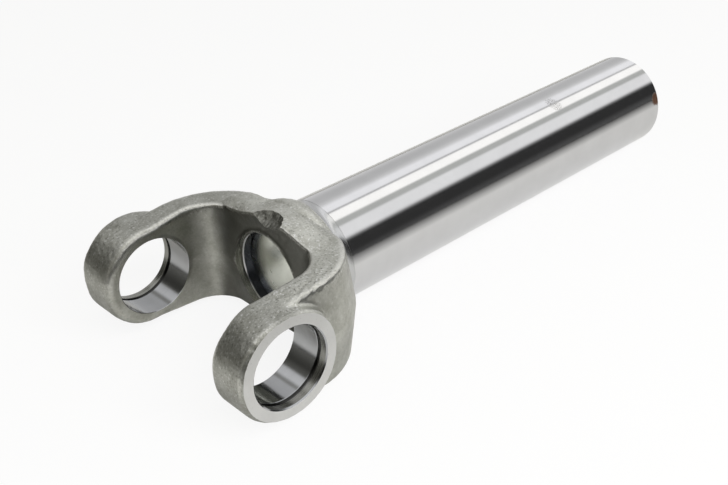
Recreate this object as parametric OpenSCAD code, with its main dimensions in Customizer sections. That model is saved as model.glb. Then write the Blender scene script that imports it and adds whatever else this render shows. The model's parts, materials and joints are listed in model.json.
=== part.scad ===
// Forged slip yoke: two bored ears on drafted arms, a hub, and a turned barrel with an inside spline.
// A domed plug closes the spline at the bottom of the fork.
// Frame: origin where the cross bore's axis meets the barrel's axis, +X along the barrel away from
// the ears, +Y along the cross bore, +Z up, at right angles to the die's parting plane.

/* [Ears and cross bore] */
// Bore for the bearing caps of the cross
bore_d = 27; // [20:0.1:34]
// Wall of the ear round the bore
ear_wall = 3.85; // [3:0.05:7]
// Distance over the machined outer faces of the two ears
ear_span = 87; // [76:0.5:110]
// Thickness of each ear along the bore
ear_thick = 15.5; // [10:0.5:20]
// Height of the ear's machined boss over the arm's outer face
boss_height = 2; // [1:0.1:4]
// Squareness of the ear's outline, where 2 is a true circle
ear_square = 2.35; // [2:0.05:3]
// Squareness of the upper half of that outline at the ear's inner edge
inner_square = 2; // [2:0.05:3]
// Length of the ear's nose over the round machined face, on the side away from the barrel
ear_nose = 0.8; // [0:0.1:1.2]
// Rounding of the ear's inner edge, which runs out along the arm
ear_round = 2.4; // [1:0.1:3]
// Chamfer that brings the ear's outline to the round machined face
face_chamfer = 0.9; // [0.4:0.1:1.5]
// Hollow fillet at the foot of the boss
boss_fillet = 3.5; // [2:0.1:5]
// Chamfer at both ends of each bore
bore_chamfer = 0.4; // [0.2:0.05:1]

/* [Retaining ring groove] */
// Land between the groove and the ear's outer face
groove_land = 2.8; // [2:0.1:4]
// Width of the groove
groove_w = 1.5; // [1:0.05:2]
// Depth of the groove
groove_depth = 0.8; // [0.4:0.05:1.5]

/* [Arms and hub] */
// Distance from the cross bore's axis to the floor of the fork
fork_depth = 24.3; // [22:0.1:34]
// Depth of the hub from the fork's floor to its back
hub_depth = 19.5; // [16:0.1:30]
// Height of the arms over the top of the ears
arm_rise = 1.3; // [0.3:0.05:2]
// Inside corner between an arm and the fork's floor
corner_r = 10; // [6:0.5:12]
// Outside shoulder that carries an arm round to the hub's back
shoulder_r = 29.5; // [26:0.5:34]
// Draft of the arms' inner walls
draft_in = 4; // [1:0.5:7]
// Draft of the fork's floor
draft_floor = 8; // [1:0.5:10]
// Draft of the outer walls
draft_out = 8; // [1:0.5:10]
// Rounding of the forging's edges
edge_round = 1.6; // [1:0.1:3]
// Rounding of the floor's upper and lower edges
floor_round = 0.6; // [0.4:0.1:2]
// Radius of the crown that carries the hub over the barrel
crown_r = 22.6; // [21:0.1:25]

/* [Barrel] */
// Ground outside diameter, which runs in the gearbox seal
barrel_d = 38.18; // [36:0.01:42]
// Length of the barrel from the hub's back
barrel_len = 180.9; // [90:0.1:260]
// Radius of the turned fillet between hub and barrel
barrel_fillet = 6.5; // [3:0.1:8]
// Height at which that fillet runs out into the hub
fillet_height = 2; // [1:0.1:2.5]
// Chamfer on the outside of the open end
end_chamfer = 1.1; // [0.5:0.1:2]
// Lead-in cone at the spline's mouth
lead_in = 1.6; // [0.8:0.1:3]

/* [Spline] */
// Number of spline teeth
spline_teeth = 27; // [24:1:28]
// Module of the spline, its pitch diameter divided by the number of teeth
spline_module = 1.058; // [1:0.002:1.1]

/* [Plug and its recess] */
// Shoulder that the plug seats on, over the spline's root
seat_w = 0.43; // [0.3:0.01:1]
// Clearance between the plug's rim and its bore
plug_clearance = 0.02; // [0.01:0.01:0.1]
// Thickness of the plug
plug_t = 1.5; // [1:0.1:2.5]
// Rise of the plug's dome
plug_rise = 1.7; // [0.8:0.1:2.5]
// Depth of the plug's seat under the fork's floor
seat_depth = 7.9; // [6:0.1:10]
// Depth of the spot-faced mouth under the fork's floor
mouth_depth = 2.9; // [1.5:0.1:4]
// Width of the spot-faced mouth round the plug's bore
mouth_w = 0.95; // [0.6:0.05:1.2]

/* [Marks of the forging] */
// Radius of the wheel that ground the hollow in the upper edge of the fork's floor
wheel_r = 13; // [8:0.5:24]
// Rounding of that wheel's rim
wheel_rim = 4.2; // [3:0.1:6]
// Depth of the hollow under the arms' top
hollow_depth = 1.7; // [0.5:0.1:2.5]
// Distance of the hollow's middle from the fork's floor
hollow_x = 5.8; // [2:0.1:8]
// Distance of its middle from the barrel's axis, towards the ear on +Y
hollow_y = 3.7; // [-4:0.1:4]

/* [Hidden] */
// Round faces and how finely the forged skin is laid out
$fn = 128;
arm_steps = 6;
corner_steps = 12;
floor_steps = 5;
round_steps = 4;
crown_steps = 14;
fillet_steps = 8;
eps = 0.01;
tip_lap = 0.3;
over = 5;
// Ears
ear_r = bore_d / 2 + ear_wall;
ear_out = ear_span / 2;
ear_in = ear_out - ear_thick;
arm_out = ear_out - boss_height;
// Arms, at half their height
arm_top = ear_r + arm_rise;
hub_back = fork_depth + hub_depth;
shoulder_x = hub_back - shoulder_r;
shoulder_y = arm_out - shoulder_r;
corner_x = fork_depth - corner_r;
corner_y = ear_in - corner_r;
// The arms start a little inside the ears, so that the two forms run together
arm_start = -3;
arm_sink = 0.3;
// Barrel and spline
barrel_r = barrel_d / 2;
barrel_end = hub_back + barrel_len;
spline_pitch_r = spline_teeth * spline_module / 2;
spline_root_r = spline_pitch_r + spline_module / 2;
spline_tip_r = spline_pitch_r - spline_module / 2;
// Plug
plug_bore_r = spline_root_r + seat_w;
plug_seat = fork_depth + seat_depth;
mouth_r = plug_bore_r + mouth_w;
mouth_floor = fork_depth + mouth_depth;
plug_r = plug_bore_r - plug_clearance;
// Sphere of the plug's outer face, and its inner face at the plug's thickness
dome_r = (plug_r * plug_r + plug_rise * plug_rise) / (2 * plug_rise);
dome_x = plug_seat - plug_t - plug_rise + dome_r;

function mix(a, b, t) = a + (b - a) * t;
function ease(t) = let (c = min(max(t, 0), 1)) c * c * (3 - 2 * c);

// Height of the arms over the parting plane
function arm_height(x) = mix(ear_r - arm_sink, arm_top, ease((x - arm_start) / 20));

// Draft of the fork's inner wall, which grows from nothing at the ears
function wall_draft(x) = draft_in * ease((x - arm_start) / (corner_x - arm_start));

// One section of the forging from its inner wall to its outer wall, as points [along, up]
// for the upper half, with both walls drafted and both edges rounded
function upper_half(w, h, inner, outer, ri, ro) =
    let (hi = h - ri, ho = h - ro, wi = hi * tan(inner), wo = w - ho * tan(outer))
    concat(
        [[0, 0], [wi / 2, hi / 2]],
        [for (k = [0:round_steps]) let (a = 90 * k / round_steps)
            [wi + ri * (1 - cos(a)), hi + ri * sin(a)]],
        [[(wi + ri + wo - ro) / 2, h]],
        [for (k = [round_steps:-1:0]) let (a = 90 * k / round_steps)
            [wo - ro * (1 - cos(a)), ho + ro * sin(a)]],
        [[(wo + w) / 2, ho / 2], [w, 0]]
    );

// The whole section as a closed ring of points in space, between two points of the plan.
// The outer wall loses its draft towards the turned back of the hub.
function section(from, to, inner, rounding) =
    let (
        w = norm(to - from),
        dir = (to - from) / w,
        h = arm_height(from.x),
        outer = draft_out * ease(abs(to.y) / shoulder_y),
        half = upper_half(w, h, inner, outer, rounding, edge_round),
        n = len(half),
        top = [for (p = half) let (q = from + dir * p[0]) [q.x, q.y, p[1] * arm_height(q.x) / h]]
    )
    concat(top, [for (k = [n - 2:-1:1]) [top[k].x, top[k].y, -top[k].z]]);

// Stations along one half of the fork, from inside the ear to the middle of the hub:
// each is [point on the inner wall, point on the outer wall, inner draft, inner rounding].
// The hub's back is turned off square where the fillet starts.
turned_start = hub_back - 1.5;
arm_stations = [for (k = [0:arm_steps - 1])
    let (t = k / arm_steps, xi = mix(arm_start, corner_x, t), xo = mix(arm_start, shoulder_x, t))
    [[xi, ear_in], [xo, arm_out], wall_draft(xi), mix(ear_round, edge_round, ease(t))]];
corner_stations = [for (k = [0:corner_steps - 1])
    let (t = ease(k / corner_steps), a = 90 - 90 * k / corner_steps)
    [[corner_x + corner_r * cos(a), corner_y + corner_r * sin(a)],
     [min(shoulder_x + shoulder_r * cos(a), turned_start), shoulder_y + shoulder_r * sin(a)],
     mix(draft_in, draft_floor, t), mix(edge_round, floor_round, t)]];
floor_stations = [for (k = [0:floor_steps])
    let (t = k / floor_steps)
    [[fork_depth, corner_y * (1 - t)], [turned_start, shoulder_y * (1 - t)],
     draft_floor, floor_round]];
half_fork = concat(arm_stations, corner_stations, floor_stations);

function across(p) = [p.x, -p.y];
stations = concat(
    half_fork,
    [for (k = [len(half_fork) - 2:-1:0]) let (s = half_fork[k])
        [across(s[0]), across(s[1]), s[2], s[3]]]
);
rings = [for (s = stations) section(s[0], s[1], s[2], s[3])];

// Closed skin over a row of rings, joined by triangles and capped flat at both ends
module skin(rings) {
    n = len(rings[0]);
    m = len(rings);
    polyhedron(
        points = [for (r = rings) each r],
        faces = concat(
            [[for (k = [n - 1:-1:0]) k]],
            [for (i = [0:m - 2]) for (k = [0:n - 1])
                let (a = i * n + k, b = i * n + (k + 1) % n)
                each [[a, b + n, a + n], [a, b, b + n]]],
            [[for (k = [0:n - 1]) (m - 1) * n + k]]
        ),
        convexity = 6
    );
}

// Turns a profile drawn as [radius, distance along Y] about the cross bore's axis
module about_y() {
    rotate([-90, 0, 0]) rotate_extrude() children();
}

// Turns a profile drawn as [radius, distance along X] about the barrel's axis
module about_x() {
    rotate([0, 90, 0]) rotate_extrude() children();
}

// Outline of an ear round the cross bore: a square-round with a nose away from the barrel, that
// flares on the arm's side into the foot of the boss, but not at the ear's top and bottom
ear_sides = 64;
foot_steps = 5;
function ear_radius(a, square) =
    ear_r / pow(pow(abs(cos(a)), square) + pow(abs(sin(a)), square), 1 / square);
function flared(a, flare, square) =
    ear_radius(a, square) + flare * ease(2.5 * cos(a)) * ease(4 * (0.95 - abs(sin(a))))
    + ear_nose * ease(-3 * cos(a) - 2);
function ear_ring(y, inset = 0, flare = 0, upper = ear_square) = [for (k = [0:ear_sides - 1])
    let (a = 360 * k / ear_sides, r = flared(a, flare, sin(a) > 0 ? upper : ear_square) - inset)
    [r * cos(a), y, r * sin(a)]];
// Ring on the ear's inner face, which lies just under the arm's drafted wall
function face_ring(inset) = [for (p = ear_ring(ear_in, inset, 0, inner_square))
    [p.x, p.y + abs(p.z) * tan(wall_draft(p.x)) + (p.x > arm_start ? arm_sink / 2 : 0), p.z]];

// Ear from its inner face over the rounded rim and the boss's foot to the round machined face
module ear() {
    foot = arm_out - boss_fillet + 0.6;
    skin(concat(
        [face_ring(ear_r / 2)],
        [for (k = [0:round_steps]) let (a = 90 * k / round_steps)
            [for (p = face_ring(ear_round * (1 - sin(a)))) [p.x, p.y + ear_round * (1 - cos(a)), p.z]]],
        [for (k = [0:foot_steps]) let (a = 90 * k / foot_steps)
            ear_ring(foot + boss_fillet * (1 - cos(a)), 0, boss_fillet * (1 - sin(a)))],
        [ear_ring(ear_out - face_chamfer)],
        [[for (k = [0:ear_sides - 1]) let (a = 360 * k / ear_sides, r = ear_r - face_chamfer / 6)
            [r * cos(a), ear_out, r * sin(a)]]]
    ));
}

// Hub's crown, turned fillet and ground barrel, all round the barrel's axis
crown_start = fork_depth + 2.6;
crown_peak = hub_back - 5;
crown_drop = 6;
turned_r = barrel_r + fillet_height;
function crown_height(x) =
    x < crown_peak
        ? crown_r - crown_drop * ease((crown_peak - x) / (crown_peak - crown_start))
        : mix(crown_r, turned_r, pow((x - crown_peak) / (turned_start - crown_peak), 2));
module crown_and_barrel() {
    fillet_run = sqrt(barrel_fillet * barrel_fillet - pow(barrel_fillet - fillet_height, 2));
    fillet_angle = atan2(fillet_run, barrel_fillet - fillet_height);
    fillet_end = turned_start + fillet_run;
    about_x() polygon(concat(
        [[0, crown_start]],
        [for (k = [0:crown_steps]) let (x = mix(crown_start, turned_start, k / crown_steps))
            [crown_height(x), x]],
        [for (k = [fillet_steps - 1:-1:0]) let (a = fillet_angle * k / fillet_steps)
            [barrel_r + barrel_fillet * (1 - cos(a)), fillet_end - barrel_fillet * sin(a)]],
        [[barrel_r, barrel_end - end_chamfer], [barrel_r - end_chamfer, barrel_end], [0, barrel_end]]
    ));
}

// One cross bore with its chamfers and its groove, from the middle of the fork outwards
module cross_bore() {
    r = bore_d / 2;
    c = bore_chamfer;
    groove_out = ear_out - groove_land;
    about_y() polygon([
        [0, 0],
        [r + c + over, 0],
        [r + c + over, ear_in - over],
        [r, ear_in + c],
        [r, groove_out - groove_w],
        [r + groove_depth, groove_out - groove_w],
        [r + groove_depth, groove_out],
        [r, groove_out],
        [r, ear_out - c],
        [r + c + over, ear_out + over],
        [0, ear_out + over]
    ]);
}

// Outline of the inside spline: straight-flanked spaces that stand in for 30 degree involutes
function spline_point(r, tooth, share) =
    let (a = 360 * (tooth + share) / spline_teeth) [r * cos(a), r * sin(a)];
module spline_outline() {
    polygon([for (t = [0:spline_teeth - 1]) each [
        spline_point(spline_tip_r, t, -0.36),
        spline_point(spline_root_r, t, -0.14),
        spline_point(spline_root_r, t, 0.14),
        spline_point(spline_tip_r, t, 0.36)
    ]]);
}

// Everything cut along the barrel's axis: spot-faced mouth, plug bore, spline and lead-in
module bored_way() {
    about_x() polygon([
        [0, 0],
        [mouth_r, 0],
        [mouth_r, mouth_floor],
        [plug_bore_r, mouth_floor + mouth_w * 0.8],
        [plug_bore_r, plug_seat],
        [0, plug_seat]
    ]);
    translate([plug_seat - eps, 0, 0]) rotate([90, 0, 90])
        linear_extrude(barrel_end - plug_seat + over) spline_outline();
    about_x() polygon([
        [0, barrel_end - lead_in - tip_lap],
        [spline_tip_r - tip_lap, barrel_end - lead_in - tip_lap],
        [spline_tip_r + lead_in + over, barrel_end + over],
        [0, barrel_end + over]
    ]);
}

// Wheel that grinds the hollow, with its axis along X
module grinding_wheel() {
    translate([fork_depth + hollow_x, hollow_y, arm_top - hollow_depth + wheel_r])
        about_x() {
            translate([wheel_r - wheel_rim, 0]) circle(wheel_rim);
            translate([0, -wheel_rim]) square([wheel_r - wheel_rim, 2 * wheel_rim]);
        }
}

// Fork of the forging: arms and floor with both ears, brought to its span over the ears
module fork() {
    resize([0, ear_span, 0]) union() {
        skin(rings);
        ear();
        mirror([0, 1, 0]) ear();
    }
}

// The one-piece forging
module yoke() {
    color([0.56, 0.55, 0.52]) difference() {
        union() {
            fork();
            crown_and_barrel();
        }
        cross_bore();
        mirror([0, 1, 0]) cross_bore();
        bored_way();
        grinding_wheel();
    }
}

// Domed expansion plug that closes the spline
module end_plug() {
    color([0.62, 0.64, 0.60]) about_x() polygon(concat(
        [[0, plug_seat - plug_rise]],
        [for (k = [1:8]) let (y = plug_r * k / 8)
            [y, dome_x - sqrt(dome_r * dome_r - y * y) + plug_t]],
        [for (k = [8:-1:0]) let (y = plug_r * k / 8)
            [y, dome_x - sqrt(dome_r * dome_r - y * y)]]
    ));
}

yoke();
end_plug();
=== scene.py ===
"""Forged slip yoke with a pressed-in end plug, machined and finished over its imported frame."""

import json
import math
from functools import partial

import bmesh
import bpy
from bmesh.types import BMEdge, BMFace, BMVert
from bpy.props import FloatProperty, FloatVectorProperty, IntProperty, PointerProperty
from mathutils import Matrix, Vector, kdtree, noise


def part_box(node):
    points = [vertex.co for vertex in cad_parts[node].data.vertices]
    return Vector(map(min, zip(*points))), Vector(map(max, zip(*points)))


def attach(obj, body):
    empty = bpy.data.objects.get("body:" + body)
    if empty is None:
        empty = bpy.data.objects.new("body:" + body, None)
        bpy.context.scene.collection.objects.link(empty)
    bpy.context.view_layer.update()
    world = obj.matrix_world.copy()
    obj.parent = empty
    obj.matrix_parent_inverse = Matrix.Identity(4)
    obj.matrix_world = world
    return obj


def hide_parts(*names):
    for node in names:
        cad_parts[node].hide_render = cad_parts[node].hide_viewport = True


bl_info = {
    "name": "Forged slip yoke",
    "version": (1, 0, 0),
    "blender": (4, 5, 0),
    "location": "View3D > Sidebar > Yoke",
    "description": "Forges, machines and finishes a slip yoke over its packed frame",
    "category": "Object",
}

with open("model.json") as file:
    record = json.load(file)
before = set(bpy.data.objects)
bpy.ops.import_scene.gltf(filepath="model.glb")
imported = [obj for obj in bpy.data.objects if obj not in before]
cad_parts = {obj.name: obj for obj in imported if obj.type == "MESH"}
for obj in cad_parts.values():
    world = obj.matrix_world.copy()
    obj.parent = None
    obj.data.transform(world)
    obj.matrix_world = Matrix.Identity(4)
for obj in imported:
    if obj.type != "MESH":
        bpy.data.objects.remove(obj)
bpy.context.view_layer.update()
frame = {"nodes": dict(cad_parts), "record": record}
MM = 0.001
YOKE_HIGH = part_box("yoke")[1]
PLUG_LOW, PLUG_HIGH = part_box("end_plug")
DIMS = {mount["name"]: mount["dims"] for mount in frame["record"]["mounts"]}

ALONG_BARREL = Vector((1, 0, 0))
ALONG_BORE = Vector((0, 1, 0))
UP = Vector((0, 0, 1))


def a_length(name, description, default, **limits):
    """A setting of a length."""
    return FloatProperty(name=name, description=description, default=default, unit="LENGTH", **limits)


def a_vector(name, description, default, subtype):
    """A setting of a place, a direction or a colour."""
    return FloatVectorProperty(name=name, description=description, default=default, subtype=subtype)


def a_colour(name, thing, default):
    """A setting of the colour of something."""
    return a_vector(name, "Colour of " + thing, default, "COLOR")


def a_share(name, description, default):
    """A setting of a share from 0 to 1."""
    return FloatProperty(name=name, description=description, default=default, min=0, max=1, subtype="FACTOR")


class ForgingSizes(bpy.types.PropertyGroup):
    """Sizes that the forging is cut to, and the roughness of its skin."""

    bore_radius: a_length("Bore radius", "Radius of the cross bore", DIMS["cross_bore"]["r_mm"] * MM)
    bore_chamfer: a_length("Bore chamfer", "Chamfer where each bore meets its ring", 0.4 * MM)
    inner_chamfer: a_length("Inner bore chamfer", "Broken edge at each ear's inner face", 0.15 * MM)
    ear_face: a_length("Ear face", "From the barrel's axis to each faced ring", YOKE_HIGH[1])
    ear_inside: a_length("Ear inside", "From the barrel's axis to each ear's inner face", 28 * MM)
    groove_land: a_length("Groove land", "From each ring's face to its snap ring groove", 2.8 * MM)
    groove_width: a_length("Groove width", "Width of each snap ring groove", 1.5 * MM)
    groove_depth: a_length("Groove depth", "Depth of each snap ring groove", 0.8 * MM)
    mouth_radius: a_length("Mouth radius", "Radius of the spot face in the fork's floor", 16.19 * MM)
    mouth_floor: a_length("Mouth floor", "Where the spot face ends", 27.2 * MM)
    plug_bore_radius: a_length("Plug bore radius", "Radius of the bore round the plug", 15.24 * MM)
    plug_seat: a_length("Plug seat", "Where the plug's rim sits", PLUG_HIGH[0])
    turned_start: a_length("Start of turning", "Where the hub's squared back lies", 42.3 * MM)
    turned_radius: a_length("Hub edge radius", "Where the fillet meets the hub's back", 21.09 * MM)
    fillet_radius: a_length("Fillet radius", "Fillet between the hub and the barrel", 6.5 * MM)
    ground_start: a_length("Start of grinding", "Where the ground barrel starts", 47.3 * MM)
    barrel_radius: a_length("Barrel radius", "Radius of the ground barrel", DIMS["barrel"]["r_mm"] * MM)
    barrel_end: a_length("Barrel end", "Where the barrel ends", YOKE_HIGH[0])
    end_chamfer: a_length("End chamfer", "Chamfer round the barrel's open end", 1.1 * MM)
    spline_teeth: IntProperty(name="Spline teeth", description="Teeth of the spline", default=27, min=12)
    spline_tip_radius: a_length("Spline tip radius", "Radius over its tips", DIMS["spline"]["r_mm"] * MM)
    spline_root_radius: a_length("Spline root radius", "Radius at the bottom of its spaces", 14.81 * MM)
    lead_in: a_length("Lead-in", "Chamfer where the splined shaft enters the barrel", 1.6 * MM)
    burr_centre: a_vector(
        "Burr centre", "Centre of the burr that ground the hollow", (0.0228, -0.0015, 0.0294), "TRANSLATION"
    )
    burr_radius: a_length("Burr radius", "Radius of the burr that ground the hollow", 10.8 * MM)
    grain: a_length("Skin grain", "Spacing of the forged skin's points", 0.55 * MM, min=0.3 * MM)
    unevenness: a_length("Unevenness", "How far the forged skin wanders", 0.09 * MM)
    tear_depth: a_length("Tear depth", "Depth of the marks where flash was torn off", 0.36 * MM)


class FinishSettings(bpy.types.PropertyGroup):
    """Colours and roughness of the yoke's finishes."""

    skin_dark: a_colour("Skin, dark", "the dark clouds of the blasted skin", (0.42, 0.42, 0.375))
    skin_light: a_colour("Skin, light", "the light clouds of the blasted skin", (0.575, 0.578, 0.535))
    # The colour below lightens the upper edges, partly as wear and partly as a painted highlight.
    worn_and_highlit_colour: a_colour("Worn skin", "the skin's worn edges", (0.62, 0.62, 0.58))
    # The colour below is painted shade that the skin darkens to in the fork's floor, low on the ears and
    # flank, and on the far arm's top.
    painted_shade_colour: a_colour("Scale", "the scale left on the skin", (0.05, 0.05, 0.043))
    skin_roughness: a_share("Skin roughness", "Roughness of the blasted skin", 0.42)
    faced_colour: a_colour("Faced steel", "the faced rings", (0.68, 0.68, 0.67))
    bored_colour: a_colour("Bored steel", "the bores", (0.44, 0.447, 0.458))
    # The dark colour of the snap ring grooves is painted shade in the narrow groove.
    groove_shade_colour: a_colour("Groove", "the snap ring grooves", (0.2, 0.2, 0.195))
    ground_colour: a_colour("Ground steel", "the ground barrel", (0.655, 0.655, 0.663))
    smear_colour: a_colour("Smear", "the smear on the barrel", (0.1, 0.095, 0.085))
    rust_colour: a_colour("Rust", "the rust near the barrel's end", (0.27, 0.15, 0.1))
    fillet_colour: a_colour("Turned steel", "the turned fillet", (0.58, 0.584, 0.588))
    # Painted shade: the plug bore is coloured near black for the shade deep inside it.
    plug_bore_shade_colour: a_colour("Plug bore", "the dark, oily plug bore", (0.075, 0.08, 0.1))
    mouth_colour: a_colour("Spot face", "the spot face's dull wall", (0.34, 0.34, 0.315))
    hollow_dark: a_colour("Hollow, dark", "the hollow's coarse marks", (0.09, 0.09, 0.078))
    hollow_light: a_colour("Hollow, light", "steel laid bare in it", (0.27, 0.27, 0.245))
    plug_colour: a_colour("Plug steel", "the pressed plug", (0.8, 0.82, 0.75))


class StudioSettings(bpy.types.PropertyGroup):
    """Camera, floor and light."""

    camera_place: a_vector("Camera place", "Where it stands", (-0.14122, -0.23599, 0.18306), "TRANSLATION")
    camera_right: a_vector("Camera right", "The picture's right", (0.7303, -0.682, -0.0398), "DIRECTION")
    camera_ahead: a_vector("Camera ahead", "Where it looks", (0.5709, 0.6413, -0.5127), "DIRECTION")
    lens: FloatProperty(name="Lens", description="Focal length in millimetres", default=50.97, min=10)
    floor_colour: a_colour("Floor", "the pale floor", (0.9, 0.9, 0.9))
    floor_size: a_length("Floor size", "Width of the floor", 2.4)
    floor_white: a_share("Floor white", "Share of plain white in the floor", 0.88)
    sky_level: FloatProperty(name="Surround", description="Brightness of the surround", default=0.34, min=0)
    wall_fade: a_share("Wall fade", "Light that the far wall loses towards the ears", 0.58)
    lamp_place: a_vector("Lamp place", "Where the soft lamp hangs", (-0.05, -0.75, 0.56), "TRANSLATION")
    lamp_power: FloatProperty(name="Lamp power", description="The lamp's watts", default=10.5, min=0)


def add_object(data, name):
    """A new object at the origin."""
    made = bpy.data.objects.new(name, data)
    bpy.context.scene.collection.objects.link(made)
    return made


def object_from(bm, name, finish):
    """Makes a bmesh an object of one finish."""
    mesh = bpy.data.meshes.new(name)
    bm.to_mesh(mesh)
    bm.free()
    mesh.materials.append(finish)
    return add_object(mesh, name)


def picked(found, kind):
    """The points, edges or faces in what was found."""
    return [item for item in found if isinstance(item, kind)]


def settle(piece):
    """Makes what the modifiers show the piece's own mesh."""
    graph = bpy.context.evaluated_depsgraph_get()
    shown = bpy.data.meshes.new_from_object(piece.evaluated_get(graph), depsgraph=graph)
    spent = piece.data
    piece.modifiers.clear()
    piece.data = shown
    bpy.data.meshes.remove(spent)


def turned(bm, profile, axis, segments):
    """Spins a closed outline of (station, radius) pairs about an axis."""
    outline = [bm.verts.new(axis * station + UP * radius) for station, radius in profile]
    edges = []
    for start, end in zip(outline, outline[1:] + outline[:1]):
        on_axis = start.co.z < 1e-9 and end.co.z < 1e-9
        if not on_axis:
            edges.append(bm.edges.new((start, end)))
    turn = {"cent": (0, 0, 0), "axis": axis, "dvec": (0, 0, 0), "angle": math.tau, "steps": segments}
    bmesh.ops.spin(bm, geom=outline + edges, use_merge=True, use_duplicate=False, **turn)
    bmesh.ops.remove_doubles(bm, verts=bm.verts, dist=1e-7)
    bmesh.ops.recalc_face_normals(bm, faces=bm.faces)


def turned_tool(name, profile, axis, segments, finish):
    """A turned cutting tool, which leaves its finish on what it cuts."""
    bm = bmesh.new()
    turned(bm, profile, axis, segments)
    return object_from(bm, name, finish)


def ear_tools(name, profile, segments, finish):
    """The same turned tool for the far ear and for the near ear."""
    return [turned_tool(name, profile, ALONG_BORE * side, segments, finish) for side in (1, -1)]


def combine(piece, tool, operation="DIFFERENCE"):
    """Takes the tool's form out of the piece, or joins it, and scraps the tool."""
    step = piece.modifiers.new(tool.name, "BOOLEAN")
    step.operation = operation
    step.solver = "MANIFOLD"
    step.object = tool
    step.material_mode = "TRANSFER"
    settle(piece)
    bpy.data.meshes.remove(tool.data)


def fill_cylinder(bm, axis, start, end, radius, segments=96):
    """Adds a plain cylinder between two stations on an axis."""
    turn = UP.rotation_difference(axis).to_matrix().to_4x4()
    place = Matrix.Translation(axis * (start + end) / 2) @ turn
    form = {"segments": segments, "radius1": radius, "radius2": radius, "depth": end - start}
    bmesh.ops.create_cone(bm, cap_ends=True, matrix=place, **form)


# Outline of the hub's round front over the arms' top, across the barrel and up, in millimetres.
HUB_FRONT = (
    (-28, 18.6), (-25, 18.8), (-21.8, 19.2), (-19, 19.7), (-16.2, 20.4), (-13, 21.2), (-9, 21.9), (-4, 22.5),
    (0, 22.6), (4, 22.35), (8, 21.35), (11.4, 20.3), (14.4, 19.55), (18, 18.95), (22, 18.65), (25, 18.4),
    (25, 13), (-25, 13),
)
# Where that outline starts along the barrel, and the height above which its far side rises on its own.
HUB_FRONT_START = 26.25 * MM
FAR_RISE_ABOVE = 15 * MM
# How that outline goes on towards the barrel: step along it, rise, width, and rise of its far side.
HUB_STEPS = (
    (5 * MM, 0.0, 0.98, 1.5 * MM),
    (4.5 * MM, -0.2 * MM, 0.88, 0.5 * MM),
    (3 * MM, -0.8 * MM, 0.8, -0.7 * MM),
    (3.2 * MM, -1.8 * MM, 0.9, -1.3 * MM),
)


def smooth(low, high, value):
    """Eases from 0 at low to 1 at high."""
    share = min(max((value - low) / (high - low), 0.0), 1.0)
    return share * share * (3 - 2 * share)


def fill_hub_front(bm):
    """Adds the hub's round front between the arms."""
    face = bm.faces.new([bm.verts.new((HUB_FRONT_START, y * MM, z * MM)) for y, z in HUB_FRONT])
    for k, (step, rise, width, far_rise) in enumerate(HUB_STEPS):
        pulled = bmesh.ops.extrude_face_region(bm, geom=[face])["geom"]
        points = picked(pulled, BMVert)
        bmesh.ops.translate(bm, verts=points, vec=ALONG_BARREL * step + UP * rise)
        bmesh.ops.scale(bm, verts=points, vec=(1, width, 1))
        for point in points:
            if point.co.z > FAR_RISE_ABOVE:
                point.co.z += far_rise * smooth(8, 15, point.co.y / MM)
        if k > 0:
            bmesh.ops.delete(bm, geom=[face], context="FACES_ONLY")
        face = picked(pulled, BMFace)[0]


def forged_blank(sizes, skin):
    """Copy of the frame's yoke with its barrel cut off and its bores filled."""
    bm = bmesh.new()
    bm.from_mesh(frame["nodes"]["yoke"].data)
    bmesh.ops.remove_doubles(bm, verts=bm.verts, dist=1e-6)
    hub_end = sizes.turned_start - 0.2 * MM
    stub = 10 * MM
    whole = bm.verts[:] + bm.edges[:] + bm.faces[:]
    plane = {"plane_co": (hub_end, 0, 0), "plane_no": ALONG_BARREL}
    split = bmesh.ops.bisect_plane(bm, geom=whole, dist=1e-7, clear_outer=True, **plane)
    rim = picked(split["geom_cut"], BMEdge)
    cap = bmesh.ops.triangle_fill(bm, use_beauty=True, use_dissolve=False, edges=rim)
    faces = picked(cap["geom"], BMFace)
    pulled = bmesh.ops.extrude_face_region(bm, geom=faces)
    bmesh.ops.translate(bm, verts=picked(pulled["geom"], BMVert), vec=ALONG_BARREL * stub)
    bmesh.ops.delete(bm, geom=faces, context="FACES_ONLY")
    over_ring = sizes.ear_face + 2 * MM
    ring_radius = sizes.bore_radius + 3.7 * MM
    for side in (1, -1):
        axis = ALONG_BORE * side
        fill_cylinder(bm, axis, sizes.ear_inside + 3 * MM, over_ring, ring_radius)
        fill_cylinder(bm, axis, sizes.ear_inside, sizes.ear_face, sizes.bore_radius + 0.45 * MM)
    stub_end = hub_end + stub - 0.1 * MM
    fill_cylinder(bm, ALONG_BARREL, 25 * MM, stub_end, sizes.mouth_radius + 0.06 * MM)
    fill_hub_front(bm)
    bmesh.ops.recalc_face_normals(bm, faces=bm.faces)
    return object_from(bm, "yoke_forging", skin)


# The torn marks run at this turn to the barrel's axis, and are drawn out by these along x, y and z.
TEAR_TURN = Matrix.Rotation(math.radians(-19), 3, "Z")
DRAWN_OUT = (4, 1.5, 2)
# Lengths of the skin's long and short waves and of its scale marks.
LONG_WAVE = 9 * MM
SHORT_WAVE = 3.1 * MM
SCALE_MARK = 1.3 * MM
# Nothing past this station along the barrel has a forged skin.
SKIN_END = 48 * MM
# The numbers in the next three functions are places on the forging, in millimetres, between which a mark
# of the skin fades in, and the share of the mark where it is full.


def torn(place):
    """How much the flash trimming tore the skin here, from 0 to 1."""
    x, y, z = (c / MM for c in place)
    if z < 8:
        return 0.0
    arm = smooth(28, 33, -y) * smooth(44, 41, -y) * smooth(28, 18, x) * smooth(-8, 2, x)
    crest = smooth(16, 17.8, z)
    ear = smooth(28, 31, abs(y)) * smooth(6, 12, z) * smooth(12, -4, x) * 0.3
    hub_edge = smooth(30, 27, x) * smooth(24, 25.5, x) * smooth(20, 14, abs(y)) * smooth(16, 18, z)
    return max(arm * crest, ear, hub_edge)


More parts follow.
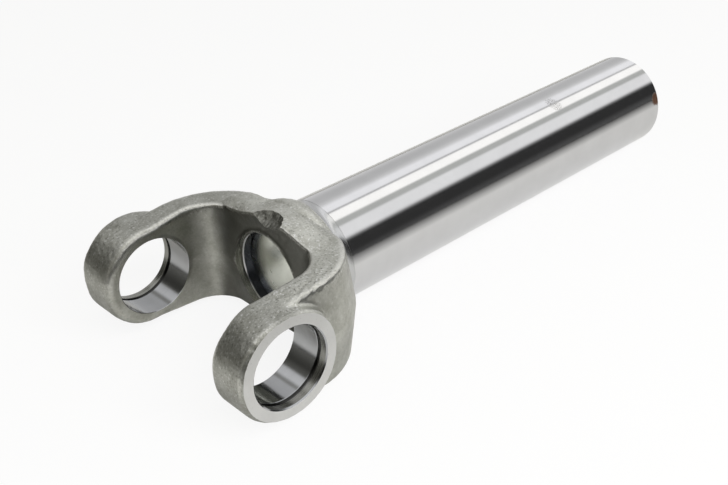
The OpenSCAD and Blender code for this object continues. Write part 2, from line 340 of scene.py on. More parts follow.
def coarse(place):
    """How coarse the blasted skin is here, from fine on the flanks to 1 on top."""
    x, y, z = (c / MM for c in place)
    top = smooth(14, 17.5, z)
    round_ear = smooth(15.2, 16.2, math.hypot(x, z)) * smooth(27.5, 29.5, abs(y)) * smooth(8, 3, x)
    return 0.3 + 0.7 * max(top, round_ear)


def painted_shade_share(point):
    """How much painted shade darkens a point of the skin, from 0 to 1."""
    x, y, z = (c / MM for c in point.co)
    floor = smooth(21.5, 25, x) * smooth(0.3, 0.8, -point.normal.x) * smooth(27, 24.5, abs(y))
    ear = smooth(9, -2, x) * (0.26 + 0.4 * smooth(3, -6, z)) * smooth(28, 29.2, abs(y))
    far_ear = smooth(28.2, 30, y) * smooth(9, 0, x) * smooth(0, -9, z) * 0.78
    low_flank = smooth(2, -8, z) * smooth(30, 36, -y) * 0.36
    far_arm = smooth(18, 28, y) * smooth(15, 17.5, z) * 0.3
    far_inside = smooth(30, 27, y) * smooth(20, 24, y) * smooth(22, 18, x) * smooth(12, 15, x) * 0.3
    return max(floor, ear, far_ear, low_flank, far_arm, far_inside)


def rough_up(piece, sizes):
    """Gives the forged skin its wander, scale marks and torn flash line."""
    mesh = piece.data
    moves = []
    for point in mesh.vertices:
        place = point.co
        wander = noise.noise(place / LONG_WAVE) + 0.4 * noise.noise(place / SHORT_WAVE)
        scale_mark = noise.noise(place / SCALE_MARK + Vector((7, 3, 1))) * 0.7 * coarse(place)
        tear = torn(place)
        chips = 0.0
        if tear > 0:
            marks = (TEAR_TURN @ place) / MM
            drawn_out = Vector([c / longer for c, longer in zip(marks, DRAWN_OUT)])
            ridges = noise.ridged_multi_fractal(drawn_out, 0.9, 2.1, 3, 1.0, 2.0)
            chips = (ridges - 1.25) * 0.62 * tear
        push = (wander + scale_mark) * sizes.unevenness + chips * sizes.tear_depth
        moves.append(place + point.normal * push)
    for point, place in zip(mesh.vertices, moves):
        point.co = place
    mesh.update()


def sharp_turns(piece):
    """How sharply the even skin turns outwards, from 0 to 1, to be looked up by place."""
    bm = bmesh.new()
    bm.from_mesh(piece.data)
    bm.normal_update()
    places = kdtree.KDTree(len(bm.verts))
    turns = []
    for k, point in enumerate(bm.verts):
        angles = [edge.calc_face_angle_signed(0.0) for edge in point.link_edges]
        turns.append(smooth(0.025, 0.13, sum(angles) / len(angles)))
        places.insert(point.co, k)
    bm.free()
    places.balance()
    return places, turns


def forge(sizes, skin):
    """The forging's skin before any machining, and where its edges are."""
    piece = forged_blank(sizes, skin)
    remesh = piece.modifiers.new("skin", "REMESH")
    remesh.mode = "VOXEL"
    remesh.voxel_size = sizes.grain
    remesh.use_smooth_shade = True
    relax = piece.modifiers.new("relax", "SMOOTH")
    relax.factor = 0.5
    relax.iterations = 4
    settle(piece)
    edges = sharp_turns(piece)
    rough_up(piece, sizes)
    return piece, edges


def mark_skin(piece, edges):
    """Writes the skin's worn and highlit edges, its coarseness and its painted shade at its points."""
    places, turns = edges
    mesh = piece.data
    # The scale mark is painted shade.
    worn, rough, dark = (
        mesh.attributes.new(name, "FLOAT", "POINT") for name in ("edge_wear", "coarseness", "scale")
    )
    for k, point in enumerate(mesh.vertices):
        if point.co.x < SKIN_END:
            # Only the upper edges are lightened: a painted highlight as well as wear.
            above = smooth(-7, 6, point.co.z / MM)
            worn.data[k].value = turns[places.find(point.co)[1]] * above
            rough.data[k].value = min(coarse(point.co) + torn(point.co), 1.5)
            dark.data[k].value = painted_shade_share(point)


def facing_tools(sizes, finish):
    """End mills that face both ears' rings."""
    face = sizes.ear_face
    far = face + 6 * MM
    wide = 30 * MM
    return ear_tools("facing", [(face, 0), (face, wide), (far, wide), (far, 0)], 96, finish)


def groove_sides(sizes):
    """How far each snap ring groove's inner and outer side are from the barrel's axis."""
    outer = sizes.ear_face - sizes.groove_land
    return outer - sizes.groove_width, outer


def boring_tools(sizes, finish):
    """Boring bars for both ears, with their chamfers and snap ring grooves."""
    r = sizes.bore_radius
    c = sizes.bore_chamfer
    inner = sizes.inner_chamfer
    over = 5 * MM
    groove_in, groove_out = groove_sides(sizes)
    groove_r = r + sizes.groove_depth
    lip = 0.12 * MM
    start = sizes.ear_inside
    end = sizes.ear_face
    profile = [(start - over, 0), (start - over, r + inner + over), (start + inner, r), (groove_in - lip, r)]
    profile += [(groove_in, r + lip), (groove_in, groove_r), (groove_out, groove_r), (groove_out, r + lip)]
    profile += [(groove_out + lip, r), (end - c, r), (end + over, r + c + over), (end + over, 0)]
    return ear_tools("boring", profile, 160, finish)


def turning_tool(sizes, finish):
    """Lathe form outside the hub's back, the fillet, the barrel and its end chamfer."""
    start = sizes.turned_start
    barrel = sizes.barrel_radius
    big = sizes.fillet_radius
    reach = math.acos(1 - (sizes.turned_radius - barrel) / big)
    rest = start + big * math.sin(reach)
    steps = 14
    wide = 40 * MM
    profile = [(start, wide), (start, sizes.turned_radius + 0.25 * MM)]
    profile.append((start + 0.12 * MM, sizes.turned_radius))
    for k in range(1, steps + 1):
        turn = reach * (1 - k / steps)
        profile.append((rest - big * math.sin(turn), barrel + big * (1 - math.cos(turn))))
    line = sizes.ground_start
    nick = 0.05 * MM
    profile += [(line - 2 * nick, barrel), (line - nick, barrel - nick)]
    profile += [(line, barrel - nick), (line + nick, barrel)]
    over = 4 * MM
    end = sizes.barrel_end
    profile.append((end - sizes.end_chamfer, barrel))
    profile += [(end + over, barrel - sizes.end_chamfer - over), (end + over, wide)]
    return turned_tool("turning", profile, ALONG_BARREL, 256, finish)


def drilling_tool(sizes, finish):
    """Counterbore for the mouth and the plug's bore."""
    start = 5 * MM
    step = 0.36 * MM
    floor = sizes.mouth_floor
    bore = sizes.plug_bore_radius
    profile = [(start, 0), (start, sizes.mouth_radius), (floor, sizes.mouth_radius), (floor, bore + step)]
    profile += [(floor + step, bore), (sizes.plug_seat, bore), (sizes.plug_seat, 0)]
    return turned_tool("drilling", profile, ALONG_BARREL, 192, finish)


def broach(sizes, finish):
    """Splined broach a little longer than the barrel's bore."""
    bm = bmesh.new()
    root = sizes.spline_root_radius
    bmesh.ops.create_circle(bm, cap_ends=True, segments=sizes.spline_teeth * 4, radius=root)
    shrink = sizes.spline_tip_radius / root
    for k, point in enumerate(bm.verts):
        if k % 4 >= 2:
            point.co *= shrink
    pulled = bmesh.ops.extrude_face_region(bm, geom=bm.faces[:])
    start = sizes.plug_seat - 0.2 * MM
    length = sizes.barrel_end + 5 * MM - start
    bmesh.ops.translate(bm, verts=picked(pulled["geom"], BMVert), vec=UP * length)
    turn = UP.rotation_difference(ALONG_BARREL).to_matrix().to_4x4()
    bmesh.ops.transform(bm, verts=bm.verts, matrix=turn)
    bmesh.ops.translate(bm, verts=bm.verts, vec=ALONG_BARREL * start)
    bmesh.ops.recalc_face_normals(bm, faces=bm.faces)
    return object_from(bm, "broach", finish)


def countersink(sizes, finish):
    """Cone that leads a splined shaft into the barrel."""
    deeper = 0.3 * MM
    end = sizes.barrel_end
    low = end - sizes.lead_in - deeper
    radius = sizes.spline_tip_radius - deeper
    over = 5 * MM
    profile = [(low, 0), (low, radius)]
    profile += [(end + over, radius + sizes.lead_in + deeper + over), (end + over, 0)]
    return turned_tool("countersink", profile, ALONG_BARREL, 128, finish)


def round_burr(sizes, finish):
    """Round burr that ground the hollow, with the wander of a hand in it."""
    steps = 72
    lump = 0.3 * MM
    radius = sizes.burr_radius
    turns = [math.pi * k / steps for k in range(steps)]
    profile = [(-radius * math.cos(turn), radius * math.sin(turn)) for turn in turns]
    tool = turned_tool("burr", profile + [(radius, 0.0)], ALONG_BORE, 180, finish)
    for point in tool.data.vertices:
        lumps = noise.noise(point.co / (2.2 * MM)) + 0.7 * noise.noise(point.co / (0.9 * MM))
        point.co *= 1 + lumps * lump / radius
    tool.data.transform(Matrix.Translation(sizes.burr_centre))
    return tool


def round_bar(sizes, finish):
    """Round bar that the barrel is turned from."""
    bm = bmesh.new()
    start = sizes.turned_start + 4 * MM
    fill_cylinder(bm, ALONG_BARREL, start, sizes.barrel_end, sizes.turned_radius - 0.1 * MM, 128)
    return object_from(bm, "bar", finish)


def refinish(piece, old, new, axis, low, high):
    """Gives faces of one finish another one, between two distances along an axis."""
    slots = piece.data.materials
    if new.name not in slots:
        slots.append(new)
    names = [slot.name for slot in slots]
    before, after = names.index(old.name), names.index(new.name)
    for face in piece.data.polygons:
        if face.material_index == before and low < abs(face.center[axis]) < high:
            face.material_index = after


def crisp_edges(piece):
    """Keeps machined edges sharp and the forged skin smooth."""
    sharpest = 0.35
    bm = bmesh.new()
    bm.from_mesh(piece.data)
    for face in bm.faces:
        face.smooth = True
    for edge in bm.edges:
        if len(edge.link_faces) != 2:
            edge.smooth = False
            continue
        one, two = edge.link_faces
        borders = one.material_index != two.material_index
        machined = one.material_index > 0 and two.material_index > 0
        edge.smooth = not (borders or (machined and edge.calc_face_angle(0) > sharpest))
    bm.to_mesh(piece.data)
    bm.free()


def fill(socket, value):
    """Links a socket to another, or sets its plain value."""
    if isinstance(value, bpy.types.NodeSocket):
        socket.id_data.links.new(value, socket)
    elif socket.type == "RGBA":
        socket.default_value = (*value, 1)
    else:
        socket.default_value = value


def beside(kind, *values):
    """A new node in the tree that the sockets among the values are in."""
    sockets = [value for value in values if isinstance(value, bpy.types.NodeSocket)]
    return sockets[0].id_data.nodes.new("ShaderNode" + kind)


def wire(kind, *values, **settings):
    """A new node with its settings, and its inputs filled in their order."""
    made = beside(kind, *values)
    for name, setting in settings.items():
        setattr(made, name, setting)
    for socket, value in zip(made.inputs, values):
        fill(socket, value)
    return made


def calculate(operation, first, second):
    """Joins two values by a maths operation."""
    return wire("Math", first, second, operation=operation).outputs["Value"]


times = partial(calculate, "MULTIPLY")
plus = partial(calculate, "ADD")
minus = partial(calculate, "SUBTRACT")


def place_step(operation, first, second=(0, 0, 0)):
    """Works on positions part by part."""
    made = wire("VectorMath", first, second, operation=operation)
    return made.outputs["Value" if operation == "LENGTH" else "Vector"]


def remap(value, low, high, to_low=0.0, to_high=1.0, kind="LINEAR"):
    """Maps a value between two ranges, clamped."""
    ends = (low, high, to_low, to_high)
    return wire("MapRange", value, *ends, interpolation_type=kind).outputs["Result"]


# The same, eased in and out.
eased = partial(remap, kind="SMOOTHSTEP")


def mix_colours(share, first, second, blend="MIX"):
    """Blends two colours by a share."""
    made = beside("Mix", share, first, second)
    made.data_type = "RGBA"
    made.blend_type = blend
    colours = [socket for socket in made.inputs if socket.type == "RGBA"]
    for socket, value in zip((made.inputs["Factor"], *colours), (share, first, second)):
        fill(socket, value)
    return [socket for socket in made.outputs if socket.type == "RGBA"][0]


def noise_texture(place, scale, detail, roughness):
    """A noise texture on a position, with its scale per metre."""
    made = wire("TexNoise", place)
    for name, value in (("Scale", scale), ("Detail", detail), ("Roughness", roughness)):
        fill(made.inputs[name], value)
    return made.outputs["Fac"]


VALUE = "NodeSocketFloat"
VECTOR = "NodeSocketVector"
COLOUR = "NodeSocketColor"


def new_group(name, inputs, outputs):
    """A shader node group with named sockets, and the sockets inside it."""
    tree = bpy.data.node_groups.new(name, "ShaderNodeTree")
    for side, sockets in (("INPUT", inputs), ("OUTPUT", outputs)):
        for label, kind in sockets.items():
            tree.interface.new_socket(label, in_out=side, socket_type=kind)
    return tree, tree.nodes.new("NodeGroupInput").outputs, tree.nodes.new("NodeGroupOutput").inputs


def grain_group():
    """Fine grain of a size: its height, its dark pits and its bright glints."""
    given = {"Position": VECTOR, "Size": VALUE}
    tree, came, went = new_group("grain", given, {"Height": VALUE, "Pits": VALUE, "Glints": VALUE})
    scale = calculate("DIVIDE", 1.0, came["Size"])
    fill(went["Height"], noise_texture(came["Position"], scale, 4, 0.65))
    speck = noise_texture(came["Position"], times(scale, 0.8), 2, 0.6)
    fill(went["Pits"], remap(speck, 0.43, 0.3))
    fill(went["Glints"], remap(speck, 0.58, 0.72))
    return tree


def tool_lines_group():
    """Fine lines that a tool leaves, drawn out where the stretch is small."""
    given = {"Position": VECTOR, "Stretch": VECTOR}
    tree, came, went = new_group("tool_lines", given, {"Lines": VALUE, "Scratches": VALUE})
    drawn = place_step("MULTIPLY", came["Position"], came["Stretch"])
    lines = noise_texture(drawn, 1.0, 3, 0.7)
    fill(went["Lines"], lines)
    fill(went["Scratches"], remap(lines, 0.62, 0.72))
    return tree


def clouding_group():
    """Soft clouds of a size between two colours."""
    given = {"Position": VECTOR, "Size": VALUE, "Dark": COLOUR, "Light": COLOUR}
    tree, came, went = new_group("clouding", given, {"Colour": COLOUR, "Share": VALUE})
    scale = calculate("DIVIDE", 1.0, came["Size"])
    share = remap(noise_texture(came["Position"], scale, 4, 0.6), 0.33, 0.67)
    fill(went["Colour"], mix_colours(share, came["Dark"], came["Light"]))
    fill(went["Share"], share)
    return tree


def patch_group():
    """Broken patch about a centre, with a reach along each axis."""
    given = {"Position": VECTOR, "Centre": VECTOR, "Reach": VECTOR, "Size": VALUE, "Cover": VALUE}
    tree, came, went = new_group("patch", given, {"Mask": VALUE})
    offset = place_step("SUBTRACT", came["Position"], came["Centre"])
    away = place_step("LENGTH", place_step("DIVIDE", offset, came["Reach"]))
    broken = noise_texture(came["Position"], calculate("DIVIDE", 1.0, came["Size"]), 3, 0.6)
    inside = eased(away, 1.0, 0.35)
    level = plus(times(inside, came["Cover"]), broken)
    fill(went["Mask"], times(remap(level, 0.98, 1.06), inside))
    return tree


GROUPS = {
    "grain": grain_group, "tool_lines": tool_lines_group, "clouding": clouding_group, "patch": patch_group,
}


def effect(name, place, **values):
    """Places one of the shared groups in a material, with its own values."""
    made = wire("Group", place, node_tree=bpy.data.node_groups.get(name) or GROUPS[name]())
    for label, value in values.items():
        fill(made.inputs[label], value)
    return made.outputs


def surface_mark(place, name):
    """A value that the piece carries at its points."""
    made = beside("Attribute", place)
    made.attribute_name = name
    return made.outputs["Fac"]


def shaded(colour, share):
    """A colour made darker or brighter by a share."""
    return tuple(min(part * share, 0.8) for part in colour)


def new_steel(name):
    """A new material, and its position output."""
    material = bpy.data.materials.new(name)
    material.use_nodes = True
    return material, material.node_tree.nodes.new("ShaderNodeTexCoord").outputs["Object"]


def finished(material, colour, roughness, height, depth):
    """Gives a steel its colour, its roughness, and a height of a depth in metres."""
    made = beside("Bump", height)
    shader = material.node_tree.nodes["Principled BSDF"]
    fill(made.inputs["Strength"], 1.0)
    fill(made.inputs["Distance"], depth)
    fill(made.inputs["Height"], height)
    fill(shader.inputs["Metallic"], 1.0)
    fill(shader.inputs["Base Color"], colour)
    fill(shader.inputs["Roughness"], roughness)
    fill(shader.inputs["Normal"], made.outputs["Normal"])
    return material


def blasted_skin(finish):
    """Grit-blasted skin: warm grey clouds under fine grain, painted shade, dark pits, bright glints, highlit
    worn edges.
    """
    material, place = new_steel("blasted_skin")
    dark, light = finish.skin_dark, finish.skin_light
    cloud = effect("clouding", place, Size=6 * MM, Dark=dark, Light=light)
    grain = effect("grain", place, Size=0.6 * MM)
    coarseness = surface_mark(place, "coarseness")
    # Painted shade: the scale mark darkens the skin towards near black and keeps the glints out of it.
    scale = surface_mark(place, "scale")
    painted_shade_mixed = mix_colours(times(scale, 0.78), cloud["Colour"], finish.painted_shade_colour)
    pits = times(grain["Pits"], times(coarseness, 0.6))
    pitted = mix_colours(pits, painted_shade_mixed, shaded(dark, 0.42))
    out_of_painted_shade = minus(0.75, times(scale, 0.7))
    glints = times(grain["Glints"], times(coarseness, out_of_painted_shade))
    glinting = mix_colours(glints, pitted, shaded(light, 1.5))
    patchy = remap(grain["Height"], 0.35, 0.6, 0.25, 1.0)
    # Edges lightened as wear and as a painted highlight where light catches the upper edges.
    rubbed_and_highlit = times(surface_mark(place, "edge_wear"), patchy)
    colour = mix_colours(rubbed_and_highlit, glinting, finish.worn_and_highlit_colour)
    middle = finish.skin_roughness
    grained = remap(grain["Height"], 0.3, 0.7, middle + 0.08, middle - 0.08)
    height = times(grain["Height"], remap(coarseness, 0.3, 1.0, 0.5, 1.0))
    return finished(material, colour, minus(grained, times(rubbed_and_highlit, 0.1)), height, 0.05 * MM)


# Cut finishes: the setting with their colour, their roughness, how closely their tool lines lie along x, y
# and z, the depth of those lines, and how much darker their blotches are.
CUT_FINISHES = {
    "faced_ring": ("faced_colour", 0.34, (900, 300, 900), 0.004 * MM, 0.06),
    "bored_steel": ("bored_colour", 0.14, (40, 5200, 40), 0.0025 * MM, 0.06),
    # The groove's dark colour is painted shade.
    "groove": ("groove_shade_colour", 0.2, (40, 5200, 40), 0.003 * MM, 0.06),
    "outer_land": ("mouth_colour", 0.26, (40, 5200, 40), 0.003 * MM, 0.06),
    "turned_fillet": ("fillet_colour", 0.22, (5000, 40, 40), 0.003 * MM, 0.06),
    # The plug bore's near black is painted shade.
    "plug_bore": ("plug_bore_shade_colour", 0.16, (5200, 40, 40), 0.0025 * MM, 0.3),
    "spot_face": ("mouth_colour", 0.27, (5200, 40, 40), 0.004 * MM, 0.2),
    "broached_steel": ("bored_colour", 0.3, (30, 4000, 4000), 0.004 * MM, 0.06),
}


def machined_steel(name, finish):
    """Cut steel: fine tool lines and faint blotches."""
    setting, roughness, stretch, line_depth, blotch = CUT_FINISHES[name]
    colour = getattr(finish, setting)
    material, place = new_steel(name)
    lines = effect("tool_lines", place, Stretch=stretch)
    cloud = effect("clouding", place, Size=6 * MM, Dark=shaded(colour, 1 - blotch), Light=colour)
    shade = mix_colours(lines["Scratches"], cloud["Colour"], shaded(colour, 0.8))
    rough = remap(lines["Lines"], 0.2, 0.8, roughness - 0.04, roughness + 0.05)
    return finished(material, shade, rough, lines["Lines"], line_depth)


# Where the smear and the rust are on the barrel, and how far they reach along x, y and z.
SMEAR = {"Centre": (167 * MM, -6.5 * MM, 18 * MM), "Reach": (6 * MM, 9 * MM, 5 * MM)}
RUST = {"Centre": (222.4 * MM, -18.1 * MM, 6 * MM), "Reach": (4.6 * MM, 3.8 * MM, 4.6 * MM)}


def ground_barrel(finish):
    """Ground steel with faint lines round it, a smear of handling marks and a spot of rust."""
    material, place = new_steel("ground_steel")
    colour = finish.ground_colour
    dull = shaded(colour, 0.95)
    lines = effect("tool_lines", place, Stretch=(6500, 30, 30))
    cloud = effect("clouding", place, Size=9 * MM, Dark=dull, Light=colour)
    grain = effect("grain", place, Size=0.35 * MM)
    smear = effect("patch", place, **SMEAR, Size=0.34 * MM, Cover=0.49)["Mask"]
    rust = effect("patch", place, **RUST, Size=0.9 * MM, Cover=0.78)["Mask"]
    shade = mix_colours(times(lines["Scratches"], 0.5), cloud["Colour"], dull)
    smeared = mix_colours(times(smear, 0.6), shade, finish.smear_colour)
    rusted = mix_colours(rust, smeared, finish.rust_colour)
    worn = plus(remap(lines["Lines"], 0.2, 0.8, 0.07, 0.12), times(smear, 0.3))
    height = plus(lines["Lines"], times(grain["Height"], 0.6))
    return finished(material, rusted, plus(worn, times(rust, 0.5)), height, 0.0012 * MM)


def ground_hollow(finish):
    """Coarse slanting grinding marks of the hollow."""
    material, place = new_steel("ground_hollow")
    light = finish.hollow_light
    turn = (0, 0, math.radians(35))
    slanted = wire("Mapping", place, (0, 0, 0), turn, (0.35, 1.0, 0.6)).outputs["Vector"]
    cloud = effect("clouding", slanted, Size=0.9 * MM, Dark=finish.hollow_dark, Light=light)
    grain = effect("grain", place, Size=0.5 * MM)
    colour = mix_colours(times(grain["Glints"], 0.7), cloud["Colour"], shaded(light, 1.6))
    rough = remap(grain["Height"], 0.3, 0.7, 0.5, 0.36)
    height = plus(cloud["Share"], times(grain["Height"], 0.5))
    return finished(material, colour, rough, height, 0.12 * MM)


def pressed_plug(finish):
    """Dull pressed sheet with faint clouding and fine grain."""
    material, place = new_steel("pressed_sheet")
    colour = finish.plug_colour
    dull = shaded(colour, 0.84)
    cloud = effect("clouding", place, Size=10 * MM, Dark=dull, Light=colour)
    grain = effect("grain", place, Size=0.5 * MM)
    speckled = mix_colours(times(grain["Pits"], 0.3), cloud["Colour"], dull)
    rough = remap(cloud["Share"], 0, 1, 0.29, 0.23)
    return finished(material, speckled, rough, grain["Height"], 0.008 * MM)


class YOKE_OT_forging(bpy.types.Operator):
    """Forges the yoke, then faces, bores, turns, broaches and grinds it."""

    bl_idname = "yoke.forging"
    bl_label = "Forge and machine the yoke"

    def execute(self, context):
        sizes = context.scene.yoke_sizes
        finish = context.scene.yoke_finish
        steel = {name: machined_steel(name, finish) for name in CUT_FINISHES}
        bored, drilled = steel["bored_steel"], steel["plug_bore"]
        fillet, mouth = steel["turned_fillet"], steel["spot_face"]
        ground = ground_barrel(finish)
        skin = blasted_skin(finish)
        piece, edges = forge(sizes, skin)
        combine(piece, round_bar(sizes, skin), "UNION")
        for tool in (
            *facing_tools(sizes, steel["faced_ring"]),
            *boring_tools(sizes, bored),
            turning_tool(sizes, ground),
            drilling_tool(sizes, drilled),
            broach(sizes, steel["broached_steel"]),
            countersink(sizes, steel["broached_steel"]),
            round_burr(sizes, ground_hollow(finish)),
        ):
            combine(piece, tool)
        groove_in, groove_out = groove_sides(sizes)
        close = 0.01 * MM
        land_end = sizes.ear_face - 1.5 * sizes.bore_chamfer
        chamfer_start = sizes.barrel_end - sizes.end_chamfer
        for change in (
            (ground, fillet, 0, 0, sizes.ground_start),
            (ground, mouth, 0, chamfer_start, sizes.barrel_end),
            (drilled, mouth, 0, 0, sizes.mouth_floor + 0.05 * MM),
            (drilled, fillet, 0, 0, sizes.mouth_floor + 0.7 * MM),
            (bored, steel["groove"], 1, groove_in - close, groove_out + close),
            (bored, steel["outer_land"], 1, groove_out, land_end),
        ):
            refinish(piece, *change)
        crisp_edges(piece)
        mark_skin(piece, edges)
        fewest_faces = 1000
        if len(piece.data.polygons) < fewest_faces:
            raise RuntimeError("the forging came out empty")
        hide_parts("yoke")
        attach(piece, "root")
        return {"FINISHED"}


def plug_profile():
    """Outline of the domed sheet, from its front over the rim to its back."""
    radius = PLUG_HIGH[1]
    front = PLUG_LOW[0]
    sheet = 1.5 * MM
    rise = 1.7 * MM
    lip = 0.25 * MM
    steps = 40
    dome = (radius * radius + rise * rise) / (2 * rise)

    def dome_station(r):
        return front + dome - math.sqrt(dome * dome - r * r)

    outer = [(radius - lip) * k / steps for k in range(1, steps + 1)]
    inner = [radius * k / steps for k in range(steps - 1, 0, -2)]
    profile = [(front, 0)] + [(dome_station(r), r) for r in outer]
    profile += [(dome_station(radius) + lip, radius), (PLUG_HIGH[0], radius)]
    profile += [(dome_station(r) + sheet, r) for r in inner]
    return profile + [(front + sheet, 0)]


class YOKE_OT_plug(bpy.types.Operator):
    """Presses the domed plug."""

    bl_idname = "yoke.plug"
    bl_label = "Press the end plug"

    def execute(self, context):
        bm = bmesh.new()
        turned(bm, plug_profile(), ALONG_BARREL, 128)
        for face in bm.faces:
            face.smooth = True
        piece = object_from(bm, "domed_plug", pressed_plug(context.scene.yoke_finish))
        piece.data.set_sharp_from_angle(angle=math.radians(50))
        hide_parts("end_plug")
        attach(piece, "root")
        return {"FINISHED"}


WHITE = (1.0, 1.0, 1.0)
BLACK = (0.0, 0.0, 0.0)
WARM = (1.0, 0.99, 0.965)
COOL = (0.985, 0.985, 1.0)
GREEN = (0.985, 1.0, 0.965)
# Tint of the light that the steel reflects from dark parts of the room, and that lights everything else.
DARK_SIDE = (1.0, 0.98, 0.86)
SHADE_TINT = (1.0, 0.975, 0.88)

# What stands round the barrel: from and to, in degrees from straight up, less than 0 away from the camera
# and more than 0 towards it, the level, and the tint. Between two of them the light runs over evenly.
SURROUND = (
    (-180, -170, 0.75, WHITE),  # far end of the low wall
    (-157, -153, 0.52, WHITE),  # gap below the low window
    (-111, -107, 1.03, WHITE),  # low window
    (-86, -85, 0.74, WHITE),  # its upper edge
    (-70, -60, 0.63, WHITE),  # grey wall
    (-50, -49, 0.67, WHITE),  # top of the wall
    (-41, -40, 0.8, WHITE),  # edge of the first screen
    (-30, -15.6, 1.2, COOL),  # first screen
    (-14.2, -11.6, 0.6, WHITE),  # slit between the screen and the lamp
    (-9, 9, 1.47, WARM),  # lamp overhead
    (12, 22.5, 0.63, GREEN),  # gap beside the lamp
    (26.5, 48, 1.08, WHITE),  # second screen
    (51, 51.4, 0.8, WHITE),  # its lower edge
    (55, 55.4, 0.22, WHITE),  # upper edge of the black board
    (59, 80, 0.04, WHITE),  # black board
    (92, 180, 0.1, WHITE),  # dark room under the board
)
# How that light changes along the barrel: how far the direction leans that way, from minus 1, off past
# the ears, to 1, off past the barrel's end, and the share of the light.
ALONG = (
    (-1.0, 0.22),
    (-0.42, 0.22),  # dark room past the ears
    (-0.345, 1.3),  # window past the ears
    (-0.12, 1.4),  # its other side
    (-0.02, 0.5),  # bar between two windows
    (0.04, 0.5),
    (0.11, 1.0),  # wall along the barrel
)
# How far the strips lean past the barrel's end, and how far the windows lie askew and off the middle.
STRIP_LEAN = math.radians(6)
WINDOW_SKEW = 0.8
WINDOW_SHIFT = 0.56


def mixed_shaders(share, first, second):
    """Blends two shaders by a share."""
    return wire("MixShader", share, first, second).outputs[0]


def light_of(tree, kind, colour, strength):
    """A background light or a glow, of a colour and a strength."""
    made = tree.nodes.new("ShaderNode" + kind)
    fill(made.inputs["Color"], colour)
    fill(made.inputs["Strength"], strength)
    return made.outputs[0]


def ramp(share, places):
    """A colour that runs through plain colours at places from 0 to 1."""
    made = wire("ValToRGB", share)
    stops = made.color_ramp.elements
    while len(stops) > 1:
        stops.remove(stops[-1])
    for k, (place, colour) in enumerate(places):
        stop = stops[0] if k == 0 else stops.new(place)
        stop.position = place
        stop.color = (*colour, 1)
    return made.outputs["Color"]


def empty_tree(owner):
    """An emptied node tree, and its Light Path outputs."""
    owner.use_nodes = True
    tree = owner.node_tree
    tree.nodes.clear()
    return tree, tree.nodes.new("ShaderNodeLightPath").outputs


def parts_of(tree, coordinate):
    """The x, y and z of a texture coordinate."""
    place = tree.nodes.new("ShaderNodeTexCoord").outputs[coordinate]
    return wire("SeparateXYZ", place).outputs


def surround(studio):
    """White studio with long screens and a black board beside the barrel, seen in the steel only."""
    world = bpy.data.worlds.new("studio_surround")
    bpy.context.scene.world = world
    tree, ray = empty_tree(world)
    along, far, high = parts_of(tree, "Generated")
    angle = calculate("ARCTAN2", times(far, -1.0), high)

    leaned = plus(angle, remap(along, 0.4, 0.8, -STRIP_LEAN, STRIP_LEAN))
    brightest = max(level for _, _, level, _ in SURROUND)
    round_places = [
        ((degrees + 180) / 360, tuple(level / brightest * part for part in tint))
        for start, end, level, tint in SURROUND
        for degrees in (start, end)
    ]
    strips = ramp(remap(leaned, -math.pi, math.pi), round_places)

    widest = max(level for _, level in ALONG)
    across = plus(minus(along, times(calculate("MAXIMUM", far, 0.0), WINDOW_SKEW)), WINDOW_SHIFT)
    along_places = [((lean + 1) / 2, (level / widest,) * 3) for lean, level in ALONG]
    windows = times(ramp(remap(across, -1, 1), along_places), widest)
    over_wall = eased(angle, math.radians(-24), math.radians(-34))
    higher = times(eased(along, -0.62, -0.42, 0.15, 1), minus(1.0, over_wall))
    window_light = plus(higher, times(windows, over_wall))
    ends = calculate("MAXIMUM", window_light, remap(high, 0.45, 0.05, 0.2, 0.5))

    low_wall = eased(angle, math.radians(-49), math.radians(-57))
    past_hub = eased(along, 0.5, 0.0, 0, studio.wall_fade)
    side = times(ends, minus(1.0, times(low_wall, past_hub)))
    tint = mix_colours(calculate("MINIMUM", side, 1.0), DARK_SIDE, WHITE)
    in_steel = mix_colours(1.0, strips, tint, "MULTIPLY")
    strip_light = light_of(tree, "Background", in_steel, times(side, brightest))
    plain = light_of(tree, "Background", SHADE_TINT, studio.sky_level)
    white = light_of(tree, "Background", WHITE, 1.0)
    unseen = mixed_shaders(ray["Is Glossy Ray"], plain, strip_light)
    out = tree.nodes.new("ShaderNodeOutputWorld")
    fill(out.inputs["Surface"], mixed_shaders(ray["Is Camera Ray"], unseen, white))


def falloff(value, start, reach):
    """Light that fades past a start, and halves once its reach is past."""
    past = calculate("MAXIMUM", minus(start, value), 0.0)
    return calculate("DIVIDE", 1.0, plus(calculate("DIVIDE", past, reach), 1.0))


def floor_paint(studio):
    """Pale floor that reads white to the camera, keeps the object's shadow and darkens out of view."""
    material = bpy.data.materials.new("pale_floor")
    tree, ray = empty_tree(material)
    x, y, _ = parts_of(tree, "Object")
    # Painted falloff of light: away from the object the floor darkens for every ray but the camera's.
    faded = times(falloff(y, -0.07, 0.069), falloff(x, -0.08, 0.1))
    lit = calculate("MAXIMUM", faded, ray["Is Camera Ray"])
    matt = wire("BsdfDiffuse", mix_colours(lit, BLACK, studio.floor_colour)).outputs[0]
    white = light_of(tree, "Emission", WHITE, 1.0)
    share = times(ray["Is Camera Ray"], studio.floor_white)
    out = tree.nodes.new("ShaderNodeOutputMaterial")
    fill(out.inputs["Surface"], mixed_shaders(share, matt, white))
    return material


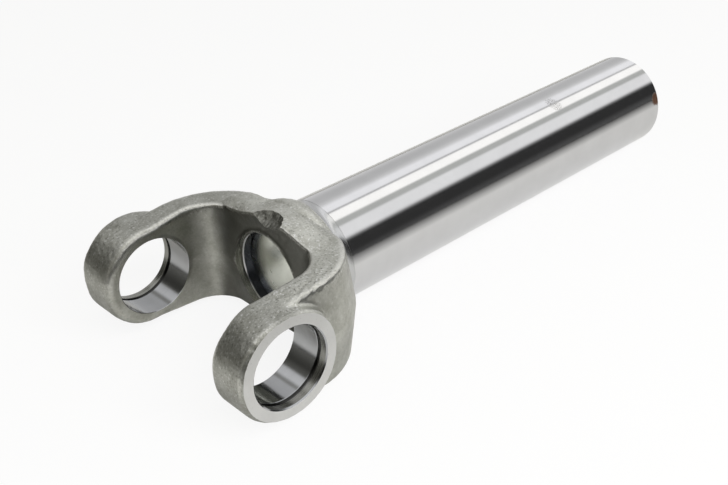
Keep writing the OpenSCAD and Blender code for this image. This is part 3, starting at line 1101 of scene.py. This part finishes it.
def lay_floor(sizes, studio):
    """Floor that the hub's crown and the barrel's end both rest on."""
    crown_station = 38.8 * MM
    crown_radius = YOKE_HIGH[2]
    run = sizes.barrel_end - sizes.end_chamfer - crown_station
    slope = math.asin((crown_radius - sizes.barrel_radius) / run)
    bm = bmesh.new()
    bmesh.ops.create_grid(bm, x_segments=8, y_segments=8, size=studio.floor_size / 2)
    bmesh.ops.rotate(bm, verts=bm.verts, cent=(0, 0, 0), matrix=Matrix.Rotation(-slope, 3, "Y"))
    square_up = Vector((-math.sin(slope), 0, math.cos(slope)))
    touch = ALONG_BARREL * crown_station - square_up * crown_radius
    bmesh.ops.translate(bm, verts=bm.verts, vec=touch)
    return object_from(bm, "floor", floor_paint(studio))


def hang_lamp(studio):
    """Soft lamp that the steel doesn't show."""
    light = bpy.data.lights.new("soft_lamp", "AREA")
    light.shape = "RECTANGLE"
    light.size = 0.9
    light.size_y = 0.6
    light.energy = studio.lamp_power
    lamp = add_object(light, "soft_lamp")
    lamp.location = studio.lamp_place
    aim = Vector((0.08, 0, 0)) - lamp.location
    lamp.rotation_euler = aim.to_track_quat("-Z", "Y").to_euler()
    lamp.visible_glossy = False


def set_camera(studio):
    """Camera at the photograph's viewing angle."""
    right = Vector(studio.camera_right).normalized()
    above = right.cross(Vector(studio.camera_ahead).normalized()).normalized()
    turn = Matrix((right, above, -above.cross(right))).transposed()
    view = bpy.data.cameras.new("camera")
    view.lens = studio.lens
    view.sensor_width = 36
    view.sensor_fit = "HORIZONTAL"
    camera = add_object(view, "camera")
    camera.matrix_world = Matrix.Translation(studio.camera_place) @ turn.to_4x4()
    return camera


class YOKE_OT_studio(bpy.types.Operator):
    """Lays the floor and sets up the surround, the lamp and the camera."""

    bl_idname = "yoke.studio"
    bl_label = "Set up the studio"

    def execute(self, context):
        scene = context.scene
        studio = scene.yoke_studio
        floor = lay_floor(scene.yoke_sizes, studio)
        surround(studio)
        hang_lamp(studio)
        scene.camera = set_camera(studio)
        scene.view_settings.view_transform = "Standard"
        return {"FINISHED"}


class YOKE_PT_panel(bpy.types.Panel):
    """Sidebar panel with the yoke's steps."""

    bl_label = "Forged yoke"
    bl_idname = "YOKE_PT_panel"
    bl_space_type = "VIEW_3D"
    bl_region_type = "UI"
    bl_category = "Yoke"

    def draw(self, context):
        layout = self.layout
        for step in STEPS:
            layout.operator(step.bl_idname)
        for group, kind in SETTINGS.items():
            box = layout.box()
            for name in kind.__annotations__:
                box.prop(getattr(context.scene, group), name)


SETTINGS = {"yoke_sizes": ForgingSizes, "yoke_finish": FinishSettings, "yoke_studio": StudioSettings}
STEPS = (YOKE_OT_forging, YOKE_OT_plug, YOKE_OT_studio)
CLASSES = (*SETTINGS.values(), *STEPS, YOKE_PT_panel)


def register():
    """Registers the settings, the steps and the panel."""
    for made in CLASSES:
        bpy.utils.register_class(made)
    for group, kind in SETTINGS.items():
        setattr(bpy.types.Scene, group, PointerProperty(type=kind))


def unregister():
    """Removes what register added."""
    for group in SETTINGS:
        delattr(bpy.types.Scene, group)
    for made in reversed(CLASSES):
        bpy.utils.unregister_class(made)


def main():
    register()
    bpy.ops.yoke.forging()
    bpy.ops.yoke.plug()
    bpy.ops.yoke.studio()


if __name__ == "__main__":
    main()
